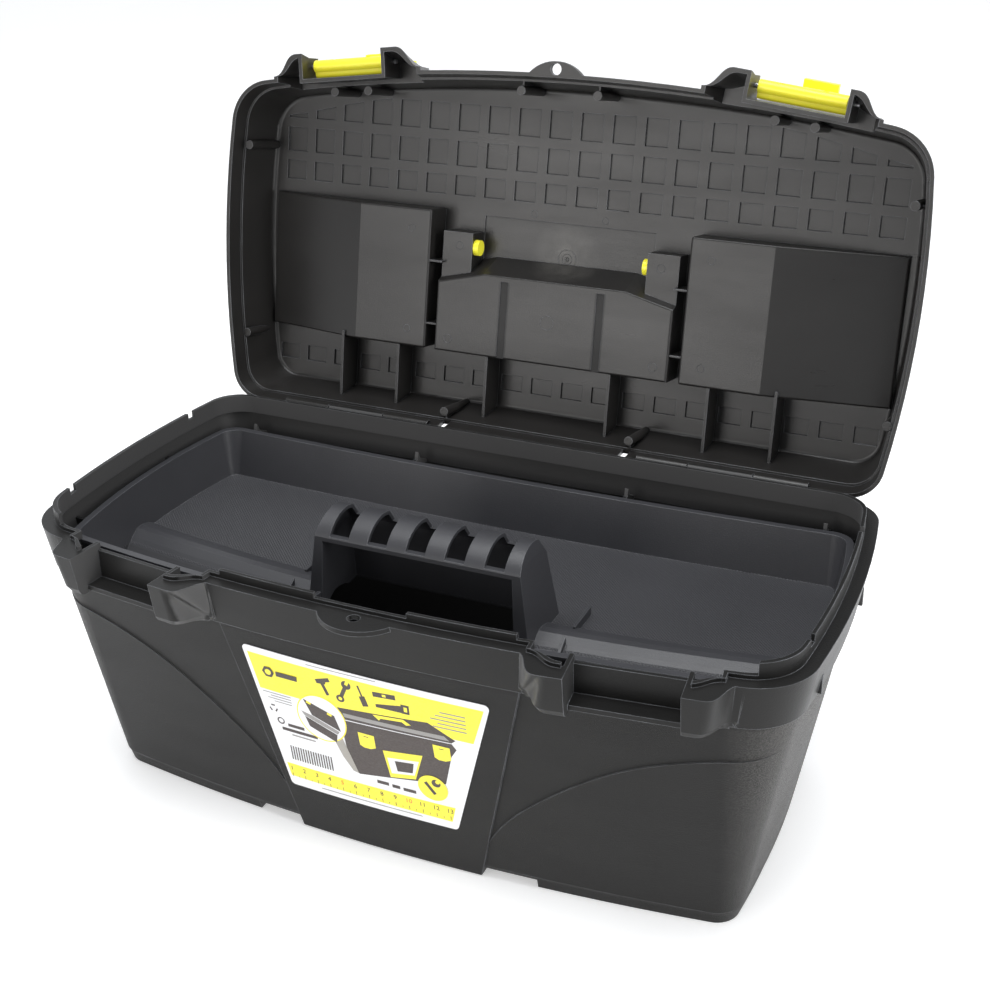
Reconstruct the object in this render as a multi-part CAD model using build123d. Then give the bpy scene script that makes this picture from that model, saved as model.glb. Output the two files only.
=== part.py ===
from build123d import *
import math
import os

# Toolbox with a lift-out tray. Millimetres, +Z up, X along the length, front face towards -Y.
# Everything is drawn with the lid shut and the middle of the rim at y = 0, then the lid group is
# opened about the hinge and the whole box is shifted so that the origin is under its middle.

# ---- driving dimensions ----
HALF_LEN = 240.0          # rim flange, half of the overall length
FRONT_Y = -118.6          # rim flange at the middle of the front
REAR_Y = 117.0            # rim flange at the back
RIM_Z = 172.0             # flange plane, where the lid lands
FRONT_R = 1320.0          # bow of the front
END_R = 650.0             # bow of the two ends
END_MID_Y = -8.0          # widest place of the ends
FLOOR_INSET = 31.0        # how far the ends draw in from the rim to the floor
FRONT_INSET = 22.5        # the same for the front and the back
WALL = 2.5
SKIRT_Z = 145.5           # lower edge of the band under the rim
FOOT_H = 4.0
LIP_LOW_Z = 174.5
LIP_MID_Z = 177.5
LIP_Z = 181.6

HINGE_Y = 118.7
HINGE_Z = 174.4
OPEN_DEG = 102.2
LID_BOTTOM = 172.5
LID_TOP = 217.8
PANEL_Z = 215.3           # inner face of the lid's top panel

LATCH_X = 152.85          # middle of each latch bay
LATCH_Y = -126.0          # front line of the bay's cheeks
LATCH_YAW = 6.7           # the bays follow the bowed front
BAY_HALF = 29.5
LATCH_AXIS_N = -13.8      # latch pin, behind the cheek line
LATCH_AXIS_Z = 187.0
LATCH_REST_DEG = 170.0    # flipped right over, as it lies on the open lid

HANDLE_Y = 0.5            # carry handle pivots
HANDLE_Z = 205.0

Y_SHIFT = -47.970          # puts the origin under the middle of the open box


# ---- outlines ----
def corner_points(hx, yf, yb):
    x = hx
    y = yf
    for _ in range(30):
        x = hx - (y - END_MID_Y) ** 2 / (2 * END_R)
        y = yf + x ** 2 / (2 * FRONT_R)
    xb = hx - (yb - END_MID_Y) ** 2 / (2 * END_R)
    return (x, y), (xb, yb)


def plan(hx, yf, yb, r_front, r_back, z=0.0):
    """Bowed front and ends, straight back, rounded corners."""
    (x, y), (xb, _) = corner_points(hx, yf, yb)
    edges = [
        ThreePointArc((-x, y), (0, yf), (x, y)),
        ThreePointArc((x, y), (hx, END_MID_Y), (xb, yb)),
        Line((xb, yb), (-xb, yb)),
        ThreePointArc((-xb, yb), (-hx, END_MID_Y), (-x, y)),
    ]
    face = make_face(edges)
    front = [v for v in face.vertices() if v.Y < 0]
    face = fillet(front, r_front)
    back = [v for v in face.vertices() if v.Y > 0 and abs(v.Y - yb) < 0.01]
    face = fillet(back, r_back)
    return Pos(0, 0, z) * face


def tub_plan(z, off=0.0, r_front=None, r_back=None):
    """The body wall's outline at height z; off grows it outwards. Corners tighten downwards."""
    t = 1 - z / RIM_Z
    hx = HALF_LEN - 3.0 - FLOOR_INSET * t + off
    yf = FRONT_Y + 3.0 + FRONT_INSET * t - off
    yb = REAR_Y - 3.0 - FRONT_INSET * t + off
    r_front = r_front or 32.0 - 17.0 * t + off
    r_back = r_back or 24.0 - 11.0 * t + off
    return plan(hx, yf, yb, r_front, r_back, z)


def bay_point(u, n):
    """Local bay coordinates (u along the front, n outwards) to x, y on the right-hand side."""
    a = math.radians(LATCH_YAW)
    x = LATCH_X + u * math.cos(a) + n * math.sin(a)
    y = LATCH_Y + u * math.sin(a) - n * math.cos(a)
    return x, y


def cheeks(z, inset, half_in=61.0, half_out=58.0):
    """Plan of the pair of cheeks beside a latch, with S-shaped flanks."""
    a = math.radians(LATCH_YAW)
    along = (math.cos(a), math.sin(a))
    left = -half_in + inset
    right = half_out - inset
    flank_left = Spline(bay_point(left, -19.0), bay_point(left + 18, -inset), tangents=[along, along])
    flank_right = Spline(bay_point(right - 18, -inset), bay_point(right, -19.0), tangents=[along, along])
    face = make_face([
        Line(bay_point(left, -42.0), bay_point(left, -19.0)),
        flank_left,
        Line(bay_point(left + 18, -inset), bay_point(right - 18, -inset)),
        flank_right,
        Line(bay_point(right, -19.0), bay_point(right, -42.0)),
        Line(bay_point(right, -42.0), bay_point(left, -42.0)),
    ])
    return Pos(0, 0, z) * face


def both(shape):
    return shape + mirror(shape, Plane.YZ)


def eared(base, z, inset):
    """A plan outline joined with both pairs of cheeks."""
    return base + both(cheeks(z, inset))


def bay_box(u0, u1, n0, n1, z0, z1):
    """A box in the right-hand bay frame: u along the front, n outwards (negative = inwards)."""
    pts = [bay_point(u, n) for u, n in ((u0, n0), (u1, n0), (u1, n1), (u0, n1))]
    return extrude(Pos(0, 0, z0) * make_face(Polyline(*pts, close=True)), z1 - z0)


def bay_rod(u0, u1, n, z, r):
    """A rod along a bay's latch axis."""
    a = math.radians(LATCH_YAW)
    x, y = bay_point(u0, n)
    start = Plane(origin=(x, y, z), z_dir=(math.cos(a), math.sin(a), 0))
    return extrude(start * Circle(r), u1 - u0)


def box(x0, x1, y0, y1, z0, z1):
    c = Pos((x0 + x1) / 2, (y0 + y1) / 2, (z0 + z1) / 2)
    return c * Box(x1 - x0, y1 - y0, z1 - z0)


def rod_x(x0, x1, y, z, r):
    return extrude(Plane(origin=(x0, y, z), z_dir=(1, 0, 0)) * Circle(r), x1 - x0)


def rod_z(x, y, z0, z1, r):
    return extrude(Pos(x, y, z0) * Circle(r), z1 - z0)


def slab_yz(x0, x1, pts):
    """A prism along X from a profile in (y, z)."""
    face = Plane.YZ * make_face(Polyline(*pts, close=True))
    return extrude(Pos(x0, 0, 0) * face, x1 - x0, dir=(1, 0, 0))


# ---- body ----
def tub_outside():
    wall = loft([tub_plan(FOOT_H), tub_plan(SKIRT_Z + 2)], ruled=True)
    low = wall.edges().group_by(Axis.Z)[0]
    wall = fillet(low, 5.0)
    levels = ((SKIRT_Z, 7.2), (SKIRT_Z + 1.6, 4.6), (SKIRT_Z + 4.6, 3.1), (RIM_Z, 0.0))
    skirt = loft([eared(tub_plan(z, 3.0), z, inset) for z, inset in levels], ruled=True)
    return wall, skirt


def lip_plan(z, inset):
    t_off = 3.0 - inset
    base = plan(HALF_LEN + t_off - 3.0, FRONT_Y - t_off + 3.0, REAR_Y - 4.0 - inset, 29.0, 21.0, z)
    return base + both(cheeks(z, inset + 2.0, 63.0, 57.5))


def lip_ring():
    ring = lip_plan(RIM_Z - 2.5, 7.5) - lip_plan(RIM_Z - 2.5, 9.7)
    ring = extrude(ring, LIP_Z - RIM_Z + 2.5)
    ring -= box(-212, 212, -140, -84, LIP_LOW_Z, 190)
    for side in (-1, 1):
        x0, x1 = sorted((side * 28.0, side * 90.0))
        seg = box(x0, x1, -140, -84, RIM_Z, LIP_MID_Z)
        ring += seg & extrude(lip_plan(RIM_Z, 7.5) - lip_plan(RIM_Z, 9.7), 8)
        for y in (-62.5, 61.0):
            x0, x1 = sorted((side * 222.0, side * 240.0))
            ring -= box(x0, x1, y, y + 6.0, LIP_Z - 4.5, LIP_Z + 1)
    clear = BAY_HALF + WALL + 0.7
    ring -= both(bay_box(-clear, clear, -27.0, 20, RIM_Z, LIP_Z + 1))
    return ring


def front_panel():
    """The raised middle panel: a tall trapezoid, wider at the top, that runs down to the floor."""
    shell = loft([tub_plan(0, 1.6), tub_plan(SKIRT_Z + 1, 1.6)], ruled=True)
    face = Plane.XZ * make_face(
        Polyline((-59, 1.0), (59, 1.0), (92.5, SKIRT_Z + 1), (-92.5, SKIRT_Z + 1), close=True)
    )
    return shell & extrude(Pos(0, -60, 0) * face, 80, dir=(0, -1, 0))


def pad_plan(z):
    """The wall's outline at z, grown at the front only."""
    t = 1 - z / RIM_Z
    hx = HALF_LEN - 3.3 - FLOOR_INSET * t
    return plan(hx, FRONT_Y + 2.2 + FRONT_INSET * t, 60.0, 32.0 - 17.0 * t, 10.0, z)


def corner_arc_pad():
    """The lower part of each front corner stands a little proud below a long arc."""
    shell = loft([pad_plan(FOOT_H + 5), pad_plan(132)], ruled=True)
    path = Spline((59, 12), (72.7, 41), (104, 73.5), (146, 102.5), (190, 118), (212, 122), (250, 126))
    line = Polyline((250, 126), (250, 9), (59, 9), (59, 12))
    face = Plane.XZ * make_face([path, line])
    pad = shell & extrude(Pos(0, 40, 0) * face, 180, dir=(0, -1, 0))
    return both(pad)


def tub_inside():
    deep = loft([tub_plan(FOOT_H + WALL, -WALL), tub_plan(SKIRT_Z + 8, -WALL)], ruled=True)
    deep = fillet(deep.edges().group_by(Axis.Z)[0], 4.0)
    top = eared(tub_plan(RIM_Z - WALL, 3.0 - WALL), RIM_Z - WALL, WALL)
    bottom = eared(tub_plan(SKIRT_Z + 5.5, 3.0 - WALL), SKIRT_Z + 5.5, WALL + 3.0)
    wide = loft([bottom, top], ruled=True)
    mouth = extrude(lip_plan(RIM_Z - WALL - 0.5, 9.7), 16)
    bay = bay_box(-BAY_HALF - WALL, BAY_HALF + WALL, -24.2, 20, 130, 200)
    return deep + (wide + mouth - both(bay))


def catch_parts():
    """Inside the bay: side cheeks, back wall and the shelf that the latch hooks under."""
    back = bay_box(-BAY_HALF - WALL, BAY_HALF + WALL, -24.2, -21.7, SKIRT_Z - 2, 168)
    shelf = bay_box(-BAY_HALF - 1, BAY_HALF + 1, -22.5, -10.0, 147.5, 150.5)
    return both(back + shelf)


def bay_cut():
    cut = bay_box(-BAY_HALF, BAY_HALF, -21.7, 20, 132, 200)
    high = bay_box(-BAY_HALF, BAY_HALF, -32.0, 20, 168, 200)
    return both(cut + high)


def padlock_tab(z0, z1, y_hole, half, tip, root):
    """A rounded ear with a hole for a padlock."""
    face = make_face([
        ThreePointArc((-half, root), (0, tip), (half, root)),
        Line((half, root), (-half, root)),
    ])
    body = extrude(Pos(0, 0, z0) * face, z1 - z0)
    return body - rod_z(0, y_hole, z0 - 1, z1 + 1, 3.6)


def knuckle(x0, x1):
    """A hinge knuckle of the body with its web to the rim."""
    web = box(x0, x1, HINGE_Y - 8, HINGE_Y, RIM_Z - WALL, RIM_Z + 1.2)
    return web + rod_x(x0, x1, HINGE_Y, HINGE_Z, 3.5)


BODY_KNUCKLES = ((108.0, 149.4),)
LID_KNUCKLES = ((74.0, 107.4), (150.0, 184.0))


def tub():
    wall, skirt = tub_outside()
    body = wall + skirt + lip_ring() + front_panel() + corner_arc_pad()
    body -= bay_cut()
    body -= tub_inside()
    body += catch_parts()
    body += padlock_tab(RIM_Z - 3, RIM_Z, -117.4, 25.0, -130.5, -112.0)
    body -= rod_z(0, -117.4, RIM_Z - 8.5, RIM_Z + 1, 3.6)
    for side in (-1, 1):
        for x in (74.0, 200.0):
            body += tray_support(side * x)
        for x0, x1 in BODY_KNUCKLES:
            a, b = sorted((side * x0, side * x1))
            body += knuckle(a, b)
        for x0, x1 in LID_KNUCKLES:
            a, b = sorted((side * x0, side * x1))
            body -= rod_x(a - 0.4, b + 0.4, HINGE_Y, HINGE_Z, 4.1)
        a, b = sorted((side * 73.5, side * 184.5))
        body -= rod_x(a, b, HINGE_Y, HINGE_Z, 1.55)
    body += front_supports()
    body += feet()
    return body


def tray_support(x):
    """A gusset on the back wall that the tray's rim rests on, with a small guide above it."""
    pts = [(106, 122), (101, 132), (94.2, 152), (94.2, 157.7), (99.0, 157.7), (100.4, 162.5), (103.0, 157.0),
           (115.5, 151), (115.5, 147), (108, 140)]
    return slab_yz(x - 1.2, x + 1.2, pts)


def front_supports():
    """Ledges at the front and at the ends that carry the tray's rim."""
    parts = []
    for side in (-1, 1):
        x = side * 100.0
        pts = [(-113.5, 146.5), (-106.5, 146.5), (-93.5, 153), (-93.5, 157.7), (-113.5, 157.7)]
        parts.append(slab_yz(x - 1.2, x + 1.2, pts))
        for y, x in ((-55.0, 222.2), (40.0, 225.0)):
            a, b = sorted((side * x, side * 236.0))
            parts.append(box(a, b, y - 1.2, y + 1.2, 147, 157.7))
    out = parts[0]
    for p in parts[1:]:
        out += p
    return out


def feet():
    """Four corner feet, each the outer skin of the bottom corner."""
    shell = loft([tub_plan(0, -1.0), tub_plan(FOOT_H + 6, 0)], ruled=True)
    core = loft([tub_plan(0, -9.0, 12, 12), tub_plan(FOOT_H + 6, -8.0, 12, 12)], ruled=True)
    ring = shell - core
    keep = box(92, 260, -130, -30, 0, FOOT_H + 5.5) + box(92, 260, 42, 130, 0, FOOT_H + 5.5)
    return both(ring & keep)


# ---- lid ----
def v_to_y(v):
    return HINGE_Y - v


def lid_plan(z, off=0.0, r_front=30.0, r_back=22.0):
    t = (z - LID_BOTTOM) / (LID_TOP - LID_BOTTOM)
    hx = 237.0 - 7.5 * t + off
    yf = -114.8 + 6.5 * t - off
    yb = 120.2 - 8.6 * t + off
    return plan(hx, yf, yb, r_front + off, r_back + off, z)


def lid_cheeks(z, inset):
    return cheeks(z, 5.6 + inset, 63.4, 57.4)


def lid_outside():
    shell = loft([lid_plan(LID_BOTTOM), lid_plan(LID_TOP)], ruled=True)
    shell = fillet(shell.edges().group_by(Axis.Z)[-1], 4.0)
    bumps = loft([lid_cheeks(LID_BOTTOM, 0), lid_cheeks(197.0, 6.0)], ruled=True)
    return shell, bumps


def lid_inside():
    low = loft([lid_plan(LID_BOTTOM - 1, -2.5), lid_plan(183.4, -2.5)], ruled=True)
    high = loft([lid_plan(183.0, -4.0), lid_plan(PANEL_Z, -4.0)], ruled=True)
    high = fillet(high.edges().group_by(Axis.Z)[-1], 2.5)
    bumps = loft([lid_cheeks(LID_BOTTOM - 1, 2.5), lid_cheeks(194.5, 8.5)], ruled=True)
    bay = bay_box(-BAY_HALF - WALL, BAY_HALF + WALL, -24.6, 20, 160, 230)
    return (low + high + both(bumps)) - both(bay)


def latch_bay_in_lid():
    """The channel in the lid's front wall where a latch sits and swings."""
    cut = bay_box(-BAY_HALF, BAY_HALF, -22.0, 20, 160, 230)
    return both(cut)


def side_block(grow):
    """Recess beside the handle: flat floor, then a long ramp out to the end. grow=0 is the recess."""
    g = grow
    pts = [
        (92.0 - g, 230 if g == 0 else PANEL_Z + 1.0),
        (92.4 - g, 196.2 - g),
        (143.3, 196.0 - g),
        (219.0 + g * 0.5, 214.3 - g),
        (219.6 + g * 0.5, 230 if g == 0 else PANEL_Z + 1.0),
    ]
    face = Plane.XZ * make_face(Polyline(*pts, close=True))
    y0 = v_to_y(139.0 + g)
    y1 = v_to_y(50.5 - g)
    solid = extrude(Pos(0, y1, 0) * face, y1 - y0, dir=(0, -1, 0))
    if g:
        low = [e for e in solid.edges() if e.center().Z < 212]
        solid = fillet(low, 1.6)
    return solid


def handle_pocket(grow):
    """The recess the carry handle folds into: a six-sided pan with a sloping front."""
    g = grow
    floor = 196.0 - g
    top = 230.0 if g == 0 else PANEL_Z + 1.0
    k = (top - floor) / 19.5

    def ring(z, s, slope):
        pts = [
            (-80.0 - s, v_to_y(50.5 - s)),
            (80.0 + s, v_to_y(50.5 - s)),
            (80.0 + s, v_to_y(92.0 + s + slope)),
            (48.0 + s * 0.6, v_to_y(100.0 + s + slope)),
            (-48.0 - s * 0.6, v_to_y(100.0 + s + slope)),
            (-80.0 - s, v_to_y(92.0 + s + slope)),
        ]
        return Pos(0, 0, z) * make_face(Polyline(*pts, close=True))

    solid = loft([ring(floor, g, 0.0), ring(top, g, 8.5 * k)], ruled=True)
    if g:
        low = [e for e in solid.edges() if e.center().Z < floor + 1]
        solid = fillet(low, 1.4)
    return solid


def pivot_pocket(grow):
    g = grow
    top = 230.0 if g == 0 else PANEL_Z + 1.0
    solid = box(63.6 - g, 80.0 + g, v_to_y(125.5 + g), v_to_y(88.0), 201.6 - g, top)
    return both(solid)


def waffle(depth=1.4):
    """Rows of small square pockets moulded in the inside of the top panel."""
    cuts = []
    pitch = 21.84
    w = 15.1
    for i in range(20):
        x = (i - 9.5) * pitch
        for v0, v1 in ((170.1, 186.3), (150.8, 163.7), (23.1, 33.7)):
            cuts.append(box(x - w / 2, x + w / 2, v_to_y(v1), v_to_y(v0), PANEL_Z - 3, PANEL_Z + depth))
        top = [min(210.6, 222.5 - (x + s * w / 2) ** 2 / 1560) for s in (-1, 1)]
        low = 193.0
        pts = [
            (x - w / 2, v_to_y(low)),
            (x + w / 2, v_to_y(low)),
            (x + w / 2, v_to_y(max(top[1], low + 1))),
            (x - w / 2, v_to_y(max(top[0], low + 1))),
        ]
        cuts.append(extrude(Pos(0, 0, PANEL_Z - 3) * make_face(Polyline(*pts, close=True)), 3 + depth))
    return cuts


def lid_pegs():
    """Round pegs that stand from the top panel almost to the rim, each with a web to the wall."""
    out = []
    for side in (-1, 1):
        for x, v, w in ((224.4, 173.3, 5.0), (224.4, 43.2, 8.6), (65.5, 9.9, 4.9),
                        (161.0, 212.6, 8.5), (136.5, 215.0, 9.5), (25.6, 222.0, 6.0)):
            out.append(rod_z(side * x, v_to_y(v), HINGE_Z + w, PANEL_Z + 1, 2.9))
        for v, w in ((173.3, 5.0), (43.2, 8.6)):
            a, b = sorted((side * 224.4, side * 234.0))
            out.append(box(a, b, v_to_y(v) - 0.6, v_to_y(v) + 0.6, HINGE_Z + w + 8, PANEL_Z))
        out.append(box(side * 65.5 - 0.6, side * 65.5 + 0.6, v_to_y(9.9), v_to_y(1.0), HINGE_Z + 8, PANEL_Z))
        out.append(box(side * 25.6 - 0.6, side * 25.6 + 0.6, v_to_y(229.0), v_to_y(222), HINGE_Z + 9, PANEL_Z))
    return out


def lid_fins():
    """Six stiffening fins between the pockets and the hinge wall."""
    out = []
    for side in (-1, 1):
        for x in (43.6, 110.0, 153.4):
            pts = [
                (v_to_y(52.0), HINGE_Z + 20.0),
                (v_to_y(3.0), HINGE_Z + 20.5),
                (v_to_y(3.0), PANEL_Z + 1),
                (v_to_y(52.0), PANEL_Z + 1),
            ]
            out.append(slab_yz(side * x - 0.9, side * x + 0.9, pts))
        for v in (107.4, 65.2):
            a, b = sorted((side * 81.0, side * 91.0))
            out.append(box(a, b, v_to_y(v) - 0.6, v_to_y(v) + 0.6, HINGE_Z + 20.5, PANEL_Z + 1))
    return out


def fuse(first, rest):
    return first.fuse(*rest) if rest else first


def lid():
    shell, bumps = lid_outside()
    inside = lid_inside()
    body = (shell + both(bumps)) - inside
    body += both(side_block(WALL)) + handle_pocket(WALL) + pivot_pocket(WALL)
    body = fuse(body, lid_pegs() + lid_fins())
    body &= shell + both(bumps)
    body -= latch_bay_in_lid()
    body += bay_walls()
    body = body.cut(*waffle())
    body -= box(-60, 60, v_to_y(139.0), v_to_y(103.0), PANEL_Z - 1, PANEL_Z + 0.9) - handle_pocket(WALL)
    body -= both(side_block(0)) + handle_pocket(0) + pivot_pocket(0)
    body -= both(box(31.2, 36.2, v_to_y(99.0), v_to_y(46.0), 190, 194.0))
    for side in (-1, 1):
        a, b = sorted((side * 60.0, side * 64.5))
        body -= rod_x(a, b, HANDLE_Y, HANDLE_Z, 5.4)
        for x0, x1 in BODY_KNUCKLES:
            c, d = sorted((side * x0, side * x1))
            body -= box(c - 0.4, d + 0.4, HINGE_Y - 4.2, HINGE_Y + 6, LID_BOTTOM - 2, HINGE_Z + 4.2)
        for x0, x1 in LID_KNUCKLES:
            c, d = sorted((side * x0, side * x1))
            body += rod_x(c, d, HINGE_Y, HINGE_Z, 3.5)
        c, d = sorted((side * 73.5, side * 184.5))
        body -= rod_x(c, d, HINGE_Y, HINGE_Z, 1.53)
    body -= both(box(61.5, 66.5, 112, 125, LID_BOTTOM - 1, HINGE_Z + 9))
    body += padlock_tab(LID_BOTTOM, LID_BOTTOM + 3.2, -117.4, 19.5, -122.3, -112.5)
    body -= rod_z(0, -117.4, LID_BOTTOM - 2, LID_BOTTOM + 12, 3.6)
    pins = bay_rod(-BAY_HALF - 4.5, BAY_HALF + 4.5, LATCH_AXIS_N, LATCH_AXIS_Z, 1.53)
    return body - both(pins)


def bay_walls():
    """Back wall and side cheeks of the latch channels in the lid."""
    back = bay_box(-BAY_HALF - WALL, BAY_HALF + WALL, -24.6, -22.0, LID_BOTTOM, PANEL_Z + 1.5)
    left = bay_box(-BAY_HALF - WALL, -BAY_HALF, -24.6, -8.0, LID_BOTTOM, 194.0)
    right = bay_box(BAY_HALF, BAY_HALF + WALL, -24.6, -8.0, LID_BOTTOM, 194.0)
    return both(back + left + right)


# ---- latches ----
def latch():
    """Right-hand latch, shut: a barrel on the pin, a plate that hangs from it and a hook."""
    half = 27.0
    a = LATCH_AXIS_N
    plate = bay_box(-half, half, -8.9, -6.5, 146.0, 189.5)
    knee = bay_box(-half, half, a, -6.5, 184.6, 189.5)
    top = (plate + knee).edges().filter_by(lambda e: e.center().Z > 189.4 and e.length > 50)
    outer = sorted(top, key=lambda e: e.center().Y)[0]
    body = fillet(outer, 2.2)
    body += bay_rod(-half, half, a, LATCH_AXIS_Z, 4.2)
    body += bay_box(-11.0, 11.0, -15.0, -8.0, 142.6, 146.4)
    body += bay_box(-11.0, 11.0, -9.4, -6.5, 142.6, 150.0)
    for u in (-half, half - 2):
        body += bay_box(u, u + 2, -11.0, -8.0, 152.5, 184.6)
    body += latch_end(half)
    for u in (-13.0, 13.0):
        body -= bay_box(u - 1.7, u + 1.7, a - 6, a - 1.0, LATCH_AXIS_Z - 1.7, LATCH_AXIS_Z + 1.7)
    return body - bay_rod(-half - 1, half + 1, a, LATCH_AXIS_Z, 1.6)


def latch_end(half):
    """The lower end of the plate, rounded off in a shallow U."""
    a = math.radians(LATCH_YAW)
    front = Plane(
        origin=(*bay_point(0, -6.5), 0),
        x_dir=(math.cos(a), math.sin(a), 0),
        z_dir=(-math.sin(a), math.cos(a), 0),
    )
    # local y of this plane runs down, so heights are negative
    face = make_face([
        Line((-half, -146.5), (half, -146.5)),
        ThreePointArc((half, -146.5), (0, -139.6), (-half, -146.5)),
    ])
    return extrude(front * face, 2.4)


def turned(shape, deg):
    """Turns a right-hand latch about its pin; positive flips it open."""
    a = math.radians(LATCH_YAW)
    x = LATCH_X + LATCH_AXIS_N * math.sin(a)
    y = LATCH_Y - LATCH_AXIS_N * math.cos(a)
    axis = Axis((x, y, LATCH_AXIS_Z), (-math.cos(a), -math.sin(a), 0))
    return shape.rotate(axis, deg)


def latch_pin():
    return bay_rod(-BAY_HALF - 4.3, BAY_HALF + 4.3, LATCH_AXIS_N, LATCH_AXIS_Z, 1.5)


# ---- carry handle ----
def carry_handle():
    """A folding bail: two arms on stub pivots and a rounded grip."""
    grip = box(-79.2, 79.2, v_to_y(84.0), v_to_y(60.0), 203.6, 216.2)
    long_edges = [e for e in grip.edges() if abs(e.center().X) < 1]
    grip = fillet(long_edges, 4.5)
    body = grip
    arm = [(0, -1), (36, -1), (36, 9.8), (24, 9.8), (14.5, 6.5), (0, 3.1)]
    arm = [(HANDLE_Y + y, HANDLE_Z + z) for y, z in arm]
    for side in (-1, 1):
        a, b = sorted((side * 64.4, side * 79.2))
        body += slab_yz(a, b, arm) + rod_x(a, b, HANDLE_Y, HANDLE_Z, 3.1)
        c, d = sorted((side * 57.4, side * 63.3))
        body += rod_x(c, d, HANDLE_Y, HANDLE_Z, 5.2)
        c, d = sorted((side * 63.0, side * 66.0))
        body += rod_x(c, d, HANDLE_Y, HANDLE_Z, 3.1)
    under = box(-60, 60, v_to_y(80.5), v_to_y(63.5), 200, 207.0)
    return body - under


# ---- tray ----
def tray_plan(hx, yf, yb, z, r=14.0):
    x = hx
    y = yf
    for _ in range(30):
        x = hx - (y - 5) ** 2 / 840
        y = yf + x ** 2 / (2 * FRONT_R)
    xb = hx - (yb - 5) ** 2 / 840
    face = make_face([
        ThreePointArc((-x, y), (0, yf), (x, y)),
        ThreePointArc((x, y), (hx, 5), (xb, yb)),
        ThreePointArc((xb, yb), (0, yb - 5.5), (-xb, yb)),
        ThreePointArc((-xb, yb), (-hx, 5), (-x, y)),
    ])
    return Pos(0, 0, z) * fillet(face.vertices(), r)


FLOOR_TOP = [(110, 129), (-19, 129), (-24, 132), (-31, 133.7), (-36, 133.7), (-42, 131), (-50, 126.2), (-57, 124.3),
             (-112, 124.3)]


def tray_floor(drop, low):
    """The space under the tray's floor, lowered by drop, down to the height low; bowed like the front."""
    pts = [(y, z - drop) for y, z in FLOOR_TOP] + [(-112, low), (110, low)]
    face = Plane.YZ * make_face(Polyline(*pts, close=True))
    centre = Axis((0, FRONT_Y + FRONT_R, 0), (0, 0, 1))
    return revolve(face.rotate(centre, -13.0), centre, 26.0)


def tray():
    outer = loft([tray_plan(219.5, -88.2, 85.4, 122.3, 6), tray_plan(225.5, -96.0, 94.0, 160, 12)], ruled=True)
    inner = loft([tray_plan(217.2, -86, 83, 120, 4), tray_plan(223.8, -94.3, 92.3, 161, 10.5)], ruled=True)
    rim = extrude(tray_plan(227.8, -98.3, 96.3, 158.0, 13.5), 2.2)
    body = (outer + rim) - inner
    body += tray_floor(0, 121) & outer
    for side in (-1, 1):
        body += cheek_wall(side) & outer
        for y0, y1 in ((-59.0, -38.0), (-24.0, 1.0)):
            body += box(side * 88.0 - 0.8, side * 88.0 + 0.8, y0, y1, 123.5, 137.0) & rib_space(y0)
    body -= box(-62.5, 62.5, -120, -8.0, 100, 170)
    body += hood()
    return body - tray_floor(2.0, 100)


def rib_space(y0):
    """Keeps the small floor ribs a constant height above the floor."""
    return tray_floor(-4.5, 100) if y0 < -30 else box(80, 100, -25, 2, 120, 134.5) + box(-100, -80, -25, 2, 120, 134.5)


def cheek_wall(side):
    """The wall on each side of the notch in front of the hood, low so that it clears the view."""
    pts = [(-99, 122.0), (-45, 122.0), (-45, 137.0), (-60, 139.0), (-80, 150.0), (-96, 159.8), (-99, 159.8)]
    a, b = sorted((side * 62.5, side * 64.9))
    return slab_yz(a, b, pts)


HOOD_OUT = ((-50.0, 122.5), (-46.5, 173.5), (-40.0, 180.2), (-28.0, 184.2), (-17.0, 182.4), (-10.0, 172.0), (-4.5, 128.0))
HOOD_IN = ((-60.0, 120.0), (-60.0, 170.6), (-44.2, 170.9), (-38.6, 178.0), (-28.0, 181.9), (-18.4, 180.4), (-12.2, 171.6), (-7.9, 120.0))


def hood():
    """The raised grip over the notch: an arched comb of six bands on two cheeks."""
    arch = Spline(*HOOD_OUT[1:5])
    rest = Polyline(HOOD_OUT[4], HOOD_OUT[5], HOOD_OUT[6], HOOD_OUT[0], HOOD_OUT[1])
    side_face = Plane.YZ * make_face([arch, rest])
    solid = extrude(Pos(-72, 0, 0) * side_face, 144.0, dir=(1, 0, 0))
    flank = Plane.XZ * make_face(
        Polyline((-72.0, 121), (72.0, 121), (65.0, 176), (62.5, 190), (-62.5, 190), (-65.0, 176), close=True)
    )
    solid &= extrude(Pos(0, 10, 0) * flank, 80, dir=(0, -1, 0))
    arch_in = Spline(*HOOD_IN[2:6])
    rest_in = Polyline(HOOD_IN[5], HOOD_IN[6], HOOD_IN[7], HOOD_IN[0], HOOD_IN[1], HOOD_IN[2])
    hollow_face = Plane.YZ * make_face([arch_in, rest_in])
    hollow = extrude(Pos(-75, 0, 0) * hollow_face, 150.0, dir=(1, 0, 0))
    flank_in = Plane.XZ * make_face(
        Polyline((-62.5, 110), (62.5, 110), (60.0, 176), (59.0, 190), (-59.0, 190), (-60.0, 176), close=True)
    )
    hollow &= extrude(Pos(0, 20, 0) * flank_in, 120, dir=(0, -1, 0))
    solid -= hollow
    for i in range(5):
        x = (i - 2) * 24.6
        solid -= box(x - 6.2, x + 6.2, -52.0, -11.6, 174.2, 190)
    return solid


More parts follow.
